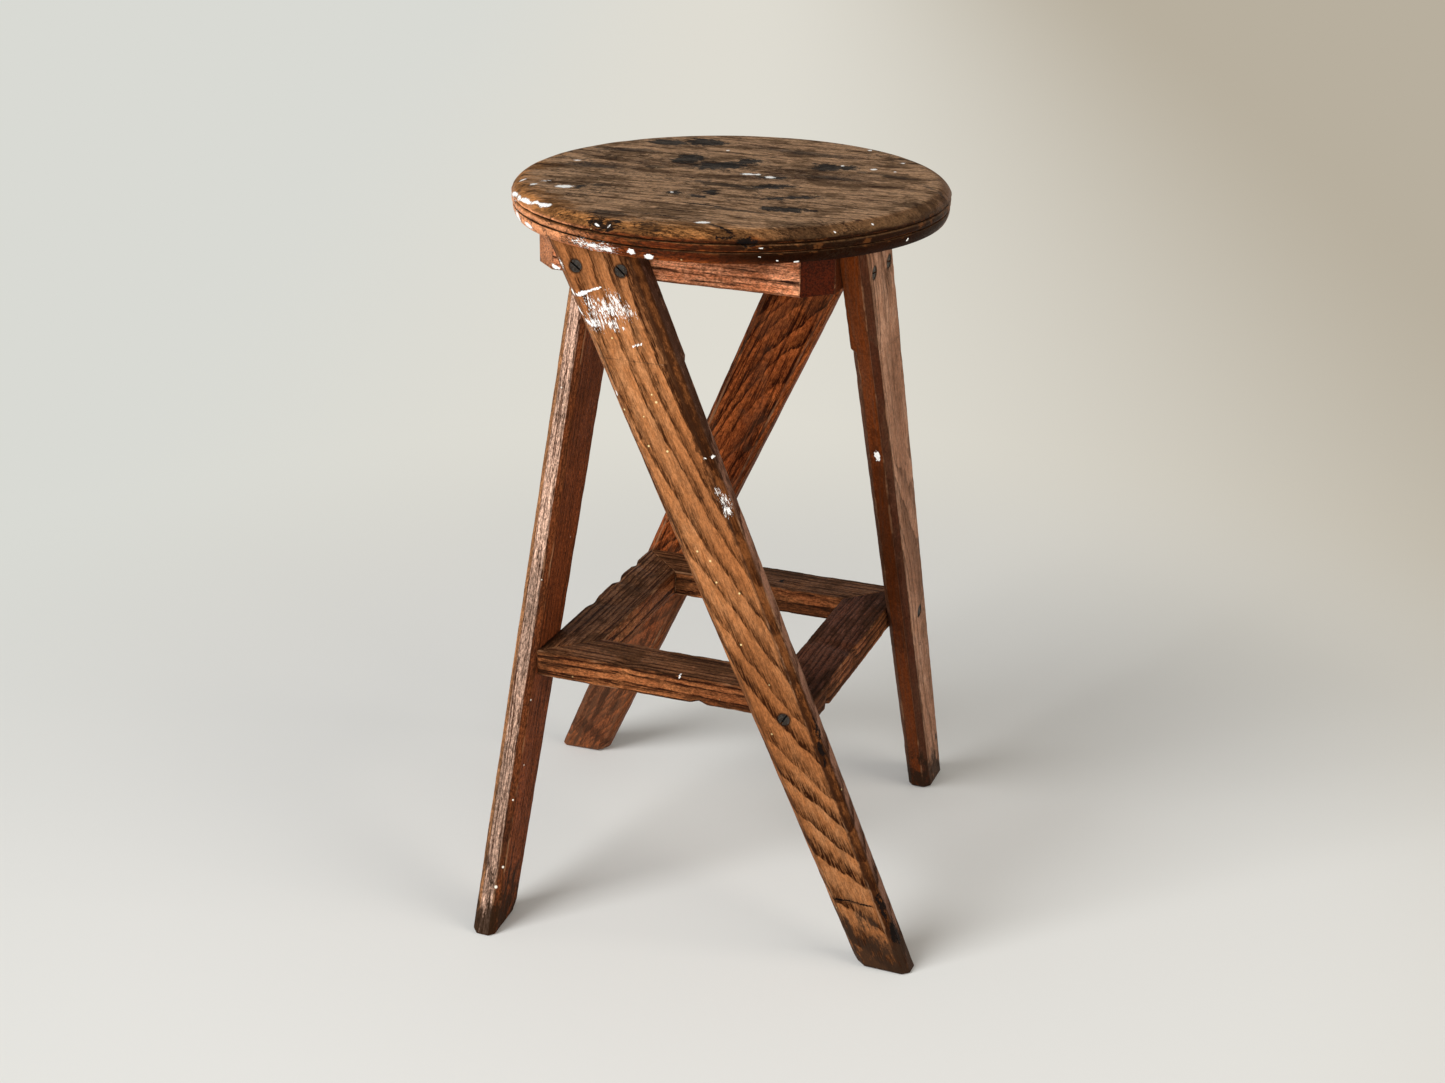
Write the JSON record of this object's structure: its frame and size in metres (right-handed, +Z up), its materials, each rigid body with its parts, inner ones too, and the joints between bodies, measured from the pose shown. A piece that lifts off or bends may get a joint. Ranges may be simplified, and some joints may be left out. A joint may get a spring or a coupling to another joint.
{
  "type": "workshop stool",
  "caption": "Tall wooden workshop stool: round seat with a moulded edge, slanting tapered board legs set like a pinwheel, square upper frame and mitred lower frame.",
  "frame": {"origin": "on the floor, below the middle of the seat", "axes": "+Z up; the front rail faces -Y, the right rail faces +X; each leg slants towards the viewer's right as it goes down"},
  "size_m": [0.435, 0.435, 0.61],
  "materials": {
    "seat_wood": "worn varnish, paint marks",
    "leg_wood": "worn varnish",
    "rail_wood": "worn varnish",
    "screw_steel": "blackened"
  },
  "bodies": {
    "root": {"leg_back": "leg_wood", "leg_front": "leg_wood", "leg_left": "leg_wood", "leg_right": "leg_wood", "leg_top_screws_back": "screw_steel", "leg_top_screws_front": "screw_steel", "leg_top_screws_left": "screw_steel", "leg_top_screws_right": "screw_steel", "lower_frame_screw_back": "screw_steel", "lower_frame_screw_front": "screw_steel", "lower_frame_screw_left": "screw_steel", "lower_frame_screw_right": "screw_steel", "lower_rail_back": "rail_wood", "lower_rail_front": "rail_wood", "lower_rail_left": "rail_wood", "lower_rail_right": "rail_wood", "seat": "seat_wood", "seat_screws_back": "screw_steel", "seat_screws_front": "screw_steel", "seat_screws_left": "screw_steel", "seat_screws_right": "screw_steel", "upper_rail_back": "rail_wood", "upper_rail_front": "rail_wood", "upper_rail_left": "rail_wood", "upper_rail_right": "rail_wood"}
  },
  "joints": []
}
